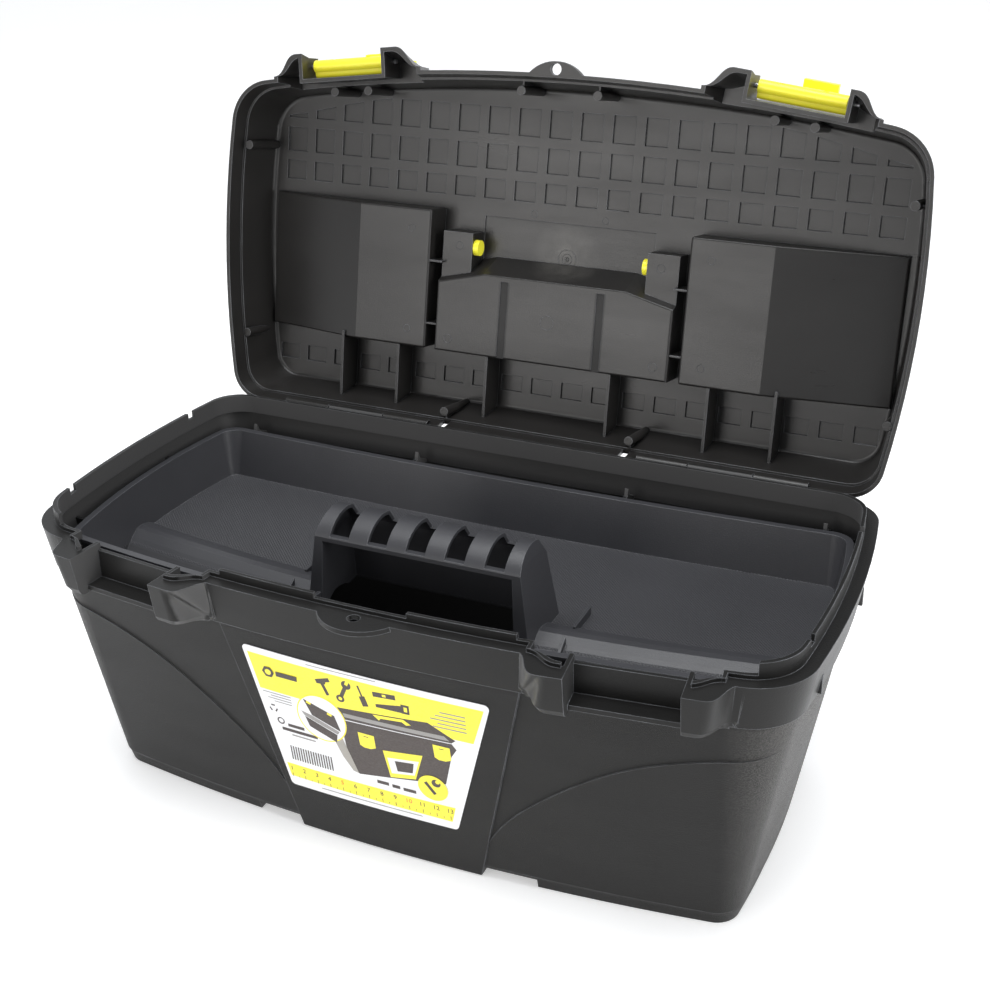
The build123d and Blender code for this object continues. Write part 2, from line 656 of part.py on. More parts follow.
# ---- label ----
def label():
    """The printed card stuck on the raised middle panel."""
    outer = loft([tub_plan(20, 2.05), tub_plan(SKIRT_Z, 2.05)], ruled=True)
    inner = loft([tub_plan(20, 1.6), tub_plan(SKIRT_Z, 1.6)], ruled=True)
    pts = ((-79.0, 134.0), (75.0, 131.2), (47.5, 33.6), (-61.5, 34.0))
    face = make_face(Polyline(*pts, close=True))
    face = Plane.XZ * fillet(face.vertices(), 3.0)
    prism = extrude(Pos(0, -60, 0) * face, 80, dir=(0, -1, 0))
    return (outer & prism) - inner


# ---- assembly ----
def opened(shape):
    """Moves a piece that rides on the lid from the shut to the open place."""
    return shape.rotate(Axis((0, HINGE_Y, HINGE_Z), (1, 0, 0)), -OPEN_DEG)


def hinge_pin():
    return rod_x(74.5, 183.5, HINGE_Y, HINGE_Z, 1.5)


def solid_of(shape):
    """The piece as one clean solid."""
    return sorted(shape.solids(), key=lambda s: s.volume)[-1]


os.makedirs("parts", exist_ok=True)
latch_open = turned(latch(), LATCH_REST_DEG)
pieces = {
    "base_tub": tub(),
    "front_label": label(),
    "tray": tray(),
    "lid_shell": opened(lid()),
    "carry_handle": opened(carry_handle()),
    "latch_right": opened(latch_open),
    "latch_left": opened(mirror(latch_open, Plane.YZ)),
    "latch_pin_right": opened(latch_pin()),
    "latch_pin_left": opened(mirror(latch_pin(), Plane.YZ)),
    "hinge_pin_right": hinge_pin(),
    "hinge_pin_left": mirror(hinge_pin(), Plane.YZ),
}
for name, shape in pieces.items():
    placed = Pos(0, Y_SHIFT, 0) * solid_of(shape)
    export_step(placed, "parts/" + name + ".step")
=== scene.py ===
import math

import bmesh
import bpy
from mathutils import Matrix, Vector
from mathutils.bvhtree import BVHTree


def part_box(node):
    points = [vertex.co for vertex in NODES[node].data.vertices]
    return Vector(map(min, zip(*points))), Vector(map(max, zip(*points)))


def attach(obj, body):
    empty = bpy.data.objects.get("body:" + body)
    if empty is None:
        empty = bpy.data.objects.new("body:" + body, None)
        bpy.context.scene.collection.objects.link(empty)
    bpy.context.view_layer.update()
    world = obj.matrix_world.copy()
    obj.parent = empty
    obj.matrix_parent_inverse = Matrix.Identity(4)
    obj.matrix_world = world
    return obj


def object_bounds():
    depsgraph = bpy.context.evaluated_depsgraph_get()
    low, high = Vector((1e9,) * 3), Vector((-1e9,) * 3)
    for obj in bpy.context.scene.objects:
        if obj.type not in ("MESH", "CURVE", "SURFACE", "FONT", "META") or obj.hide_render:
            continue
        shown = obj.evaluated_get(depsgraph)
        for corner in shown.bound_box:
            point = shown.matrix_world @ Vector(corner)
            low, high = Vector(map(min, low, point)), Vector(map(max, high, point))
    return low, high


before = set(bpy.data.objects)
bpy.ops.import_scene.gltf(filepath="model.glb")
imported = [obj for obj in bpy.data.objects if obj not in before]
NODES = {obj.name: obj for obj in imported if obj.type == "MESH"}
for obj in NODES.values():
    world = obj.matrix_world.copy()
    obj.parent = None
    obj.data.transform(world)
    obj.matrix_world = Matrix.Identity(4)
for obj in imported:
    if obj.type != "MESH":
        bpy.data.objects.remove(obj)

# Looks for the toolbox: materials on the CAD nodes, the printed label, small moulded marks, the studio.
# Lengths are in metres unless a name or comment says mm.
MM = 0.001
CAD_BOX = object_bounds()


# ---------------------------------------------------------------- shader helpers
class Shader:
    """A Principled material with short calls for the nodes used here."""

    def __init__(self, name):
        self.mat = bpy.data.materials.new(name)
        self.mat.use_nodes = True
        self.tree = self.mat.node_tree
        self.bsdf = self.tree.nodes["Principled BSDF"]
        self.coord = self.node("ShaderNodeTexCoord").outputs["Object"]

    def node(self, kind, **settings):
        n = self.tree.nodes.new(kind)
        for key, value in settings.items():
            setattr(n, key, value)
        return n

    def link(self, a, b):
        self.tree.links.new(a, b)

    def put(self, socket, value):
        """A number or colour goes on the socket itself, another node's output is linked."""
        if isinstance(value, bpy.types.NodeSocket):
            self.link(value, socket)
        else:
            socket.default_value = value

    def set(self, **values):
        for key, value in values.items():
            self.put(self.bsdf.inputs[key.replace("_", " ")], value)

    def noise(self, scale, detail=3.0, rough=0.5, vector=None):
        n = self.node("ShaderNodeTexNoise")
        self.link(vector or self.coord, n.inputs["Vector"])
        n.inputs["Scale"].default_value = scale
        n.inputs["Detail"].default_value = detail
        n.inputs["Roughness"].default_value = rough
        return n.outputs["Fac"]

    def cells(self, scale):
        n = self.node("ShaderNodeTexVoronoi", feature="F1")
        self.link(self.coord, n.inputs["Vector"])
        n.inputs["Scale"].default_value = scale
        return n.outputs["Distance"]

    def stretch(self, scale):
        n = self.node("ShaderNodeMapping")
        self.link(self.coord, n.inputs["Vector"])
        n.inputs["Scale"].default_value = scale
        return n.outputs["Vector"]

    def math(self, op, a, b=0.0, clamp=False):
        n = self.node("ShaderNodeMath", operation=op, use_clamp=clamp)
        self.put(n.inputs[0], a)
        self.put(n.inputs[1], b)
        return n.outputs[0]

    def span(self, fac, a, b, lo=0.0, hi=1.0):
        """fac from a to b mapped to lo to hi, clamped."""
        n = self.node("ShaderNodeMapRange")
        self.put(n.inputs["Value"], fac)
        n.inputs["From Min"].default_value = a
        n.inputs["From Max"].default_value = b
        n.inputs["To Min"].default_value = lo
        n.inputs["To Max"].default_value = hi
        return n.outputs["Result"]

    def mix(self, fac, a, b):
        n = self.node("ShaderNodeMix", data_type="RGBA")
        self.put(n.inputs[0], fac)
        self.put(n.inputs[6], a)
        self.put(n.inputs[7], b)
        return n.outputs[2]

    def bump(self, height, strength, distance, normal=None):
        n = self.node("ShaderNodeBump")
        n.inputs["Strength"].default_value = strength
        n.inputs["Distance"].default_value = distance
        self.link(height, n.inputs["Height"])
        if normal is not None:
            self.link(normal, n.inputs["Normal"])
        return n.outputs["Normal"]

    def soft_edges(self, radius):
        n = self.node("ShaderNodeBevel", samples=4)
        n.inputs["Radius"].default_value = radius
        return n.outputs["Normal"]

    def edge_mask(self, radius):
        """1 on sharp outer edges, 0 on flats."""
        soft = self.soft_edges(radius)
        geo = self.node("ShaderNodeNewGeometry")
        dot = self.node("ShaderNodeVectorMath", operation="DOT_PRODUCT")
        self.link(soft, dot.inputs[0])
        self.link(geo.outputs["Normal"], dot.inputs[1])
        return self.span(dot.outputs["Value"], 0.995, 0.88), soft

    def crease_shade(self, reach):
        """1 in tight inner corners, 0 on open faces: the mask for painted shade in corners."""
        n = self.node("ShaderNodeAmbientOcclusion", samples=6)
        n.inputs["Distance"].default_value = reach
        return self.span(n.outputs["AO"], 0.97, 0.60)

    def near(self, point, inner, outer):
        """1 within inner of a point, 0 beyond outer."""
        d = self.node("ShaderNodeVectorMath", operation="DISTANCE")
        self.link(self.coord, d.inputs[0])
        d.inputs[1].default_value = point
        return self.span(d.outputs["Value"], inner, outer, 1.0, 0.0)

    def band(self, value, lo, hi, soft):
        """1 where value lies between lo and hi."""
        rise = self.span(value, lo - soft, lo + soft)
        fall = self.span(value, hi - soft, hi + soft, 1.0, 0.0)
        return self.math("MULTIPLY", rise, fall)

    def axis(self, index):
        n = self.node("ShaderNodeSeparateXYZ")
        self.link(self.coord, n.inputs[0])
        return n.outputs[index]


def rgb(r, g, b):
    return (r, g, b, 1.0)


def moulded(name, dark, light, roughness, grain, grain_size, edge_highlight_strength, finish=None, shine=0.5):
    """Moulded polypropylene: grained skin, cloudy colour and a painted highlight along sharp edges.

    finish takes the colour, roughness and normal so far and adds the marks of one piece.
    """
    s = Shader(name)
    cloud = s.noise(9.0, 4.0, 0.6)
    speck = s.noise(1.0 / grain_size, 2.0, 0.7)
    pits = s.cells(0.8 / grain_size)
    colour = s.mix(s.span(cloud, 0.3, 0.7), dark, light)
    brighter = tuple(min(1.0, c * 1.6) for c in light[:3]) + (1.0,)
    colour = s.mix(s.span(speck, 0.60, 0.78, 0.0, 0.4), colour, brighter)
    edge, soft = s.edge_mask(0.0006)
    # Painted highlight: sharp edges are mixed towards a pale bluish grey, unevenly along their length.
    edge_highlight = s.math("MULTIPLY", edge, s.span(s.noise(60.0, 3.0), 0.35, 0.65, 0.35, 1.0))
    colour = s.mix(s.math("MULTIPLY", edge_highlight, edge_highlight_strength), colour, rgb(0.26, 0.27, 0.29))
    scuff = s.noise(14.0, 5.0, 0.65, s.stretch((0.5, 0.5, 3.0)))
    rough = s.span(scuff, 0.3, 0.7, roughness - 0.05, roughness + 0.05)
    height = s.math("ADD", speck, s.math("MULTIPLY", pits, 0.5))
    normal = s.bump(height, grain, grain_size * 0.9, soft)
    if finish:
        colour, rough, normal = finish(s, colour, rough, normal)
    s.set(Base_Color=colour, Roughness=rough, Normal=normal)
    s.set(IOR=1.5, Specular_IOR_Level=shine)
    return s.mat


def body_finish(s, colour, rough, normal):
    """Fine grain outside below the rim, rougher towards the ends, where a paler colour and bright specks are
    painted in for grazing light. Smooth inside, with a paler colour painted in for the light the inner faces
    catch.
    """
    geo = s.node("ShaderNodeNewGeometry")
    away = s.node("ShaderNodeVectorMath", operation="SUBTRACT")
    s.link(s.coord, away.inputs[0])
    away.inputs[1].default_value = (0.0, TUB_MIDDLE.y, TUB_MIDDLE.z)
    facing = s.node("ShaderNodeVectorMath", operation="DOT_PRODUCT")
    s.link(geo.outputs["Normal"], facing.inputs[0])
    s.link(away.outputs["Vector"], facing.inputs[1])
    faces_out = s.span(facing.outputs["Value"], 0.02, 0.05)
    fine = s.math("ADD", s.noise(1900.0, 2.0, 0.7), s.math("MULTIPLY", s.cells(1700.0), 0.5))
    below_rim = s.span(s.axis(2), RIM_FOOT - RIM_BLEND, RIM_FOOT, 1.0, 0.0)
    outside = s.math("MULTIPLY", faces_out, below_rim)
    # Painted light: faces turned in towards the middle get a much paler colour, for the light they catch from
    # the bright surroundings.
    colour = s.mix(faces_out, rgb(0.075, 0.074, 0.074), colour)
    rough = s.math("SUBTRACT", rough, s.math("MULTIPLY", s.math("SUBTRACT", 1.0, outside), 0.08))
    normal = s.bump(s.math("MULTIPLY", fine, outside), 0.8, 0.0004, normal)
    side = s.math("ABSOLUTE", s.axis(0))
    ends = s.math("MULTIPLY", s.span(side, END_START, END_FULL), outside)
    grit = s.math("MULTIPLY", s.noise(1500.0, 2.0, 0.7), ends)
    # Painted glints: bright specks scattered over the ends.
    glint_and_fibre_fleck = s.math("MULTIPLY", s.span(s.noise(1600.0, 1.0, 0.6), 0.44, 0.62), ends)
    # Painted light: the ends are mixed towards a paler grey, then the painted glints are laid on, for the
    # grazing light they catch.
    colour = s.mix(s.math("MULTIPLY", ends, 0.35), colour, rgb(0.060, 0.058, 0.055))
    colour = s.mix(s.math("MULTIPLY", glint_and_fibre_fleck, 0.45), colour, rgb(0.20, 0.19, 0.18))
    return colour, rough, s.bump(grit, 0.7, 0.0008, normal)


def lid_finish(s, colour, rough, normal):
    """Flow marks, a paler bloom round the gate, two dark strips on the handle pocket, and painted shade in
    tight inner corners.
    """
    flow = s.noise(7.0, 3.0, 0.5, s.stretch((1.0, 0.4, 1.0)))
    normal = s.bump(flow, 0.12, 0.0006, normal)
    uneven = s.noise(70.0, 3.0, 0.6)
    gate = s.near(lid_spot(0, GATE_V, 40), 0.006, 0.026)
    bloom = s.math("MULTIPLY", gate, s.span(uneven, 0.35, 0.65, 0.3, 1.0))
    colour = s.mix(s.math("MULTIPLY", bloom, 0.8), colour, rgb(0.105, 0.100, 0.092))
    side = s.math("ABSOLUTE", s.axis(0))
    low = lid_spot(0, STRIP_V0, 19).z
    high = lid_spot(0, STRIP_V1, 19).z
    across = s.band(side, 0.0306, 0.0366, 0.0011)
    strip = s.math("MULTIPLY", across, s.band(s.axis(2), low, high, 0.0005))
    inner = s.math("LESS_THAN", s.axis(1), lid_spot(0, STRIP_V1, 21).y)
    strip = s.math("MULTIPLY", strip, inner)
    colour = s.mix(s.math("MULTIPLY", strip, 0.6), colour, rgb(0.004, 0.004, 0.004))
    rough = s.math("ADD", rough, s.math("MULTIPLY", strip, 0.2))
    # Painted shade: tight inner corners are darkened from an occlusion mask.
    colour = s.mix(s.math("MULTIPLY", s.crease_shade(0.0022), 0.85), colour, rgb(0.002, 0.002, 0.002))
    return colour, rough, normal


def tray_finish(s, colour, rough, normal):
    """A fine knurl on the two flat floors only. The lower front strip is duller, and darker: partly painted
    shade where it lies low, partly its own darker knurled look.
    """
    z = s.axis(2)
    upper = s.band(z, TRAY_FLOOR - 0.0004, TRAY_FLOOR + 0.0004, 0.0001)
    lower = s.band(z, TRAY_STRIP - 0.0004, TRAY_STRIP + 0.0004, 0.0001)
    mask = s.math("ADD", upper, lower, clamp=True)
    height = s.math("MULTIPLY", knurl_height(s), mask)
    low = s.span(z, TRAY_FLOOR - 0.0012, TRAY_FLOOR - 0.0004, 1.0, 0.0)
    # Partly painted shade: below the upper floor the colour is darkened for the shade the low strip lies in,
    # as well as for its knurled look.
    colour = s.mix(s.math("MULTIPLY", low, 0.45), colour, rgb(0.012, 0.012, 0.0135))
    rough = s.math("ADD", rough, s.math("MULTIPLY", low, 0.22))
    return colour, rough, s.bump(height, 0.55, 0.0003, normal)


def knurl_height(s):
    """Fine diamond knurl, about 1.5 mm across the flats."""
    x = s.axis(0)
    y = s.axis(1)
    turns = 2 * math.pi / KNURL_PITCH
    a = s.math("SINE", s.math("MULTIPLY", s.math("ADD", x, y), turns))
    b = s.math("SINE", s.math("MULTIPLY", s.math("SUBTRACT", x, y), turns))
    return s.math("MAXIMUM", a, b)


def yellow_plastic():
    s = Shader("yellow_gloss")
    cloud = s.noise(22.0, 3.0)
    colour = s.mix(s.span(cloud, 0.3, 0.7), rgb(0.97, 0.86, 0.035), rgb(1.0, 0.93, 0.055))
    edge, soft = s.edge_mask(0.0006)
    # Painted highlight: sharp edges are mixed towards a paler yellow.
    colour = s.mix(s.math("MULTIPLY", edge, 0.25), colour, rgb(1.0, 0.93, 0.25))
    fine = s.noise(1800.0, 2.0)
    s.set(
        Base_Color=colour,
        Roughness=s.span(s.noise(40.0, 4.0), 0.3, 0.7, 0.26, 0.36),
        Normal=s.bump(fine, 0.12, 0.0002, soft),
    )
    s.set(IOR=1.49, Subsurface_Weight=0.06, Subsurface_Scale=0.002)
    # Painted light: a faint yellow emission makes the plastic glow a little brighter than its lighting alone.
    s.set(Emission_Color=rgb(1.0, 0.92, 0.06), Emission_Strength=0.12)
    return s.mat


def steel():
    s = Shader("pin_steel_drawn")
    lines = s.noise(900.0, 2.0, 0.5, s.stretch((0.05, 1.0, 1.0)))
    tone = s.mix(s.span(lines, 0.3, 0.7), rgb(0.42, 0.42, 0.43), rgb(0.60, 0.60, 0.61))
    s.set(
        Base_Color=tone,
        Roughness=s.span(lines, 0.3, 0.7, 0.28, 0.42),
        Normal=s.bump(lines, 0.2, 0.0001),
    )
    s.set(Metallic=1.0)
    return s.mat


def ink(name, colour, roughness=0.34, glint_and_fibre_fleck=0.04):
    """Printed card: a flat ink with paper fibre showing faintly through."""
    s = Shader(name)
    fibre = s.noise(700.0, 4.0, 0.7, s.stretch((1.0, 1.0, 2.4)))
    lighter = tuple(c + (1.0 - c) * glint_and_fibre_fleck for c in colour[:3]) + (1.0,)
    darker = tuple(c * (1.0 - glint_and_fibre_fleck) for c in colour[:3]) + (1.0,)
    s.set(
        Base_Color=s.mix(s.span(fibre, 0.3, 0.7), darker, lighter),
        Roughness=s.span(s.noise(30.0, 3.0), 0.3, 0.7, roughness - 0.05, roughness + 0.06),
        Normal=s.bump(fibre, 0.08, 0.0002),
    )
    s.set(IOR=1.45)
    return s.mat


def floor_material():
    s = Shader("pale_floor")
    cloud = s.noise(1.2, 3.0)
    s.set(
        Base_Color=s.mix(s.span(cloud, 0.3, 0.7), rgb(0.90, 0.90, 0.90), rgb(0.93, 0.93, 0.93)),
        Roughness=s.span(s.noise(18.0, 3.0), 0.3, 0.7, 0.6, 0.7),
    )
    s.set(Emission_Color=rgb(1, 1, 1), Emission_Strength=0.40)
    return s.mat


# ---------------------------------------------------------------- places used by the materials and marks
HINGE = (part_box("hinge_pin_left")[0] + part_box("hinge_pin_left")[1]) / 2
OPEN_ANGLE = math.radians(102.2)
LID_ALONG = Vector((0.0, -math.cos(OPEN_ANGLE), math.sin(OPEN_ANGLE)))
LID_DEEP = Vector((0.0, math.sin(OPEN_ANGLE), math.cos(OPEN_ANGLE)))


def lid_spot(x, v, w):
    """A place on the lid: x across, v from the hinge towards the latches, w into the lid (mm)."""
    base = Vector((0.0, HINGE.y, HINGE.z))
    return base + Vector((x * MM, 0, 0)) + LID_ALONG * (v * MM) + LID_DEEP * (w * MM)


TUB_MIDDLE = (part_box("base_tub")[0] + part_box("base_tub")[1]) / 2
RIM_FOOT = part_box("base_tub")[1].z - 0.0361    # lower edge of the band under the rim
RIM_BLEND = 0.004                              # height over which the grain fades out below it
END_START, END_FULL = 0.196, 0.226             # distance from the middle where the ends turn rougher and take a painted grazing light
TRAY_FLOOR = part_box("tray")[0].z + 0.0067
TRAY_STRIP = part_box("tray")[0].z + 0.0020      # the lower strip along the tray's front
KNURL_PITCH = 0.0021
GATE_V = 116.0                                 # mm from the hinge to the moulding gate in the lid
STRIP_V0, STRIP_V1 = 47, 99                    # mm from the hinge to the ends of the dark strips


# ---------------------------------------------------------------- materials on the CAD nodes
BODY = moulded(
    "body_black_grain", rgb(0.0085, 0.0083, 0.0080), rgb(0.0112, 0.0109, 0.0105),
    roughness=0.47, grain=0.10, grain_size=0.0008, edge_highlight_strength=1.0, finish=body_finish, shine=0.22,
)
BODY_SHADER = BODY.node_tree.nodes["Principled BSDF"]
BODY_SHADER.inputs["Sheen Weight"].default_value = 0.09
BODY_SHADER.inputs["Sheen Roughness"].default_value = 0.4
LID = moulded(
    "lid_black_satin", rgb(0.017, 0.016, 0.0152), rgb(0.022, 0.0207, 0.0197),
    roughness=0.32, grain=0.12, grain_size=0.0006, edge_highlight_strength=1.0, finish=lid_finish,
)
TRAY = moulded(
    "tray_grey_satin", rgb(0.042, 0.0424, 0.0470), rgb(0.052, 0.0524, 0.0580),
    roughness=0.38, grain=0.16, grain_size=0.0006, edge_highlight_strength=0.5, finish=tray_finish,
)
YELLOW = yellow_plastic()
STEEL = steel()
WHITE_INK = ink("label_white", rgb(0.88, 0.88, 0.90))

NODE_MATERIAL = {
    "base_tub": BODY,
    "lid_shell": LID,
    "tray": TRAY,
    "carry_handle": YELLOW,
    "latch_left": YELLOW,
    "latch_right": YELLOW,
    "latch_pin_left": STEEL,
    "latch_pin_right": STEEL,
    "hinge_pin_left": STEEL,
    "hinge_pin_right": STEEL,
    "front_label": WHITE_INK,
}
for node_name, node_mat in NODE_MATERIAL.items():
    data = NODES[node_name].data
    data.materials.clear()
    data.materials.append(node_mat)


# ---------------------------------------------------------------- printed label
def surface_tree(node):
    """A search tree over a CAD node's own faces, for laying things on it."""
    data = NODES[node].data
    corners = [v.co.copy() for v in data.vertices]
    return BVHTree.FromPolygons(corners, [tuple(p.vertices) for p in data.polygons])


class Print:
    """Flat inked shapes laid on the curved card. Positions are mm from the card's bottom middle."""

    STRIP = 6.0     # mm, width of the strips that let a shape follow the bow
    LIFT = 0.00003  # m, lowest ink above the card
    STEP = 0.00004  # m, each further layer
    INKS = (
        ("label_yellow", rgb(1.0, 0.86, 0.05)),
        ("label_brown", rgb(0.050, 0.036, 0.033)),
        ("label_grey", rgb(0.30, 0.29, 0.28)),
        ("label_red", rgb(0.80, 0.13, 0.03)),
        ("label_paper", rgb(0.86, 0.86, 0.88)),
        ("label_taupe", rgb(0.36, 0.34, 0.31)),
    )
    YELLOW, BROWN, GREY, RED, PAPER, TAUPE = range(6)

    def __init__(self):
        lo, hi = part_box("front_label")
        self.origin = Vector(((lo.x + hi.x) / 2, lo.y - 0.05, lo.z))
        self.tree = surface_tree("front_label")
        self.bm = bmesh.new()

    def lay(self, points, layer):
        """Drops points (u, w) onto the card's face, layer steps above it."""
        out = []
        for u, w in points:
            start = self.origin + Vector((u * MM, 0.0, w * MM))
            hit, _, _, _ = self.tree.ray_cast(start, Vector((0, 1, 0)))
            if hit is None:
                hit = Vector((start.x, self.origin.y + 0.06, start.z))
            out.append(hit - Vector((0, self.LIFT + self.STEP * layer, 0)))
        return out

    def shape(self, ink_index, layer, points):
        """One filled outline, cut into strips so that it follows the bow of the card."""
        bm = bmesh.new()
        bm.faces.new([bm.verts.new((u, 0, w)) for u, w in points])
        us = [p[0] for p in points]
        u = math.floor(min(us) / self.STRIP) * self.STRIP + self.STRIP
        while u < max(us):
            geom = bm.verts[:] + bm.edges[:] + bm.faces[:]
            bmesh.ops.bisect_plane(bm, geom=geom, plane_co=(u, 0, 0), plane_no=(1, 0, 0))
            u += self.STRIP
        bmesh.ops.triangulate(bm, faces=bm.faces[:])
        self.take(bm, ink_index, layer)

    def take(self, bm, ink_index, layer):
        """Moves a flat mesh in the x-z plane onto the card and adds it to the print."""
        bm.verts.ensure_lookup_table()
        spots = self.lay([(v.co.x, v.co.z) for v in bm.verts], layer)
        made = [self.bm.verts.new(p) for p in spots]
        for f in bm.faces:
            loop = [made[v.index] for v in f.verts]
            side = (loop[1].co - loop[0].co).cross(loop[2].co - loop[0].co)
            if side.y > 0:
                loop.reverse()
            face = self.bm.faces.new(loop)
            face.material_index = ink_index
        bm.free()

    def box(self, ink_index, layer, u, w, wide, high, turn=0.0):
        """A rectangle about its middle, turned in degrees."""
        c = math.cos(math.radians(turn))
        s = math.sin(math.radians(turn))
        x, y = wide / 2, high / 2
        corners = ((-x, -y), (x, -y), (x, y), (-x, y))
        self.shape(ink_index, layer, [(u + a * c - b * s, w + a * s + b * c) for a, b in corners])

    def disc(self, ink_index, layer, u, w, r, count=40, squash=1.0):
        ring = [2 * math.pi * i / count for i in range(count)]
        self.shape(ink_index, layer, [(u + r * math.cos(a), w + r * squash * math.sin(a)) for a in ring])

    def digits(self, text, ink_index, layer, u, w, size):
        curve = bpy.data.curves.new("digits", "FONT")
        curve.body = text
        curve.size = size
        curve.align_x = "CENTER"
        curve.resolution_u = 3
        obj = bpy.data.objects.new("digits", curve)
        bpy.context.scene.collection.objects.link(obj)
        bpy.context.view_layer.update()
        flat = bpy.data.meshes.new_from_object(obj.evaluated_get(bpy.context.evaluated_depsgraph_get()))
        bm = bmesh.new()
        bm.from_mesh(flat)
        for v in bm.verts:
            v.co = Vector((v.co.x + u, 0, v.co.y + w))
        bmesh.ops.triangulate(bm, faces=bm.faces[:])
        self.take(bm, ink_index, layer)
        bpy.data.objects.remove(obj)
        bpy.data.curves.remove(curve)
        bpy.data.meshes.remove(flat)

    def lines(self, ink_index, layer, u, w, widths, high, step, right=False):
        """Rows of small print, shown as thin bars."""
        for i, wide in enumerate(widths):
            mid = u - wide / 2 if right else u + wide / 2
            self.box(ink_index, layer, mid, w - i * step, wide, high)

    def finish(self):
        mesh = bpy.data.meshes.new("label_print")
        self.bm.to_mesh(mesh)
        self.bm.free()
        for name, colour in self.INKS:
            mesh.materials.append(ink(name, colour))
        obj = bpy.data.objects.new("label_print", mesh)
        bpy.context.scene.collection.objects.link(obj)
        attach(obj, "body")


def print_tools(p):
    """A row of plain tool outlines where a title would be."""
    ink_index = Print.BROWN
    p.box(ink_index, 2, -24.0, 83.5, 2.2, 10.0, 20)
    p.shape(ink_index, 2, [(-29.5, 88.5), (-20.5, 91.6), (-19.6, 89.0), (-22.6, 88.0), (-23.0, 86.4),
                           (-28.6, 85.8)])
    p.box(ink_index, 2, -12.0, 84.0, 2.4, 9.0, -25)
    p.disc(ink_index, 2, -9.4, 89.6, 3.0, 24)
    p.box(Print.YELLOW, 3, -8.8, 91.2, 2.0, 3.4, -25)
    p.disc(ink_index, 2, -14.4, 78.9, 2.6, 24)
    p.disc(Print.YELLOW, 3, -14.4, 78.9, 1.2, 18)
    p.box(ink_index, 2, 0.6, 81.0, 3.8, 7.0, 15)
    p.box(ink_index, 2, -1.0, 87.6, 1.2, 8.0, 15)
    p.shape(ink_index, 2, [(8.0, 79.2), (24.0, 79.2), (24.0, 84.2), (8.0, 81.4)])
    p.box(ink_index, 2, 26.2, 82.2, 5.0, 6.4)
    p.box(Print.YELLOW, 3, 26.4, 82.2, 2.0, 3.2)
    p.box(ink_index, 2, 14.0, 88.6, 14.0, 3.4, 4)
    p.box(Print.YELLOW, 3, 14.0, 88.6, 2.2, 1.6, 4)


def print_toolbox(p):
    """A plain drawing of a shut toolbox, and one of an open box in a circle."""
    p.shape(p.BROWN, 2, [(-17.0, 62.5), (-14.6, 63.1), (52.1, 64.8), (54.7, 61.2), (51.1, 55.2), (45.7, 33.7),
                         (-9.5, 24.6), (-14.5, 27.5)])
    p.shape(p.BROWN, 2, [(-17.5, 71.7), (39.0, 76.6), (54.7, 67.7), (52.1, 65.4), (-14.6, 63.8),
                         (-17.4, 66.0)])
    p.shape(p.TAUPE, 3, [(-23.3, 46.4), (-17.5, 49.0), (-10.0, 24.9), (-13.5, 25.8), (-19.0, 35.0)])
    p.shape(p.GREY, 3, [(-14.0, 65.6), (51.0, 66.6), (48.0, 69.4), (-14.6, 68.4)])
    p.shape(p.YELLOW, 4, [(5.0, 73.0), (24.0, 74.6), (28.5, 71.8), (25.5, 70.9), (23.0, 72.6),
                          (10.0, 71.4), (8.6, 69.8)])
    for u, w in ((-1.5, 51.6), (45.4, 56.2)):
        p.shape(p.YELLOW, 4, [(u - 5.0, w + 5.4), (u + 5.2, w + 5.2), (u + 5.4, w - 3.6), (u + 2.0, w - 5.2),
                              (u - 2.2, w - 5.2), (u - 4.6, w - 3.8)])
        p.box(p.BROWN, 5, u, w + 3.2, 3.0, 0.5)
    p.shape(p.YELLOW, 4, [(8.2, 47.8), (33.2, 51.1), (27.0, 31.8), (10.9, 28.7)])
    p.shape(p.PAPER, 5, [(10.5, 43.2), (30.4, 45.8), (26.6, 34.6), (12.0, 32.0)])
    p.shape(p.BROWN, 6, [(15.0, 42.0), (27.0, 43.4), (25.6, 36.0), (16.0, 34.6)])
    p.disc(p.YELLOW, 4, -29.5, 59.9, 16.2, 56, 1.03)
    p.disc(p.PAPER, 5, -29.5, 59.9, 15.4, 56, 1.03)
    p.shape(p.BROWN, 6, [(-40.0, 71.4), (-20.5, 64.4), (-17.6, 53.6), (-35.6, 60.6)])
    p.shape(p.GREY, 6, [(-42.6, 62.0), (-36.0, 60.4), (-18.6, 53.2), (-20.0, 50.8), (-40.8, 59.0)])
    p.shape(p.BROWN, 6, [(-40.6, 58.6), (-20.4, 50.4), (-21.6, 44.6), (-38.4, 51.6)])
    p.box(p.YELLOW, 7, -36.6, 69.4, 3.0, 1.6, -20)
    p.box(p.YELLOW, 7, -23.6, 64.6, 3.0, 1.6, -20)


def print_ruler(p):
    """A ruler along the bottom, 1 to 13, with a short tick between the long ones."""
    last = 13
    step = 8.62
    p.shape(p.YELLOW, 1, [(-60.2, 16.9), (49.8, 16.8), (46.9, 5.5), (-58.4, 7.3)])
    for i in range(last):
        u = -57.2 + step * i
        colour = p.RED if i in (4, 9) else p.BROWN
        p.digits(str(i + 1), colour, 3, u, 12.0, 4.4)
        p.box(p.BROWN, 3, u, 8.3, 0.35, 2.6)
        if i < last - 1:
            p.box(p.BROWN, 3, u + step / 2, 7.8, 0.25, 1.5)


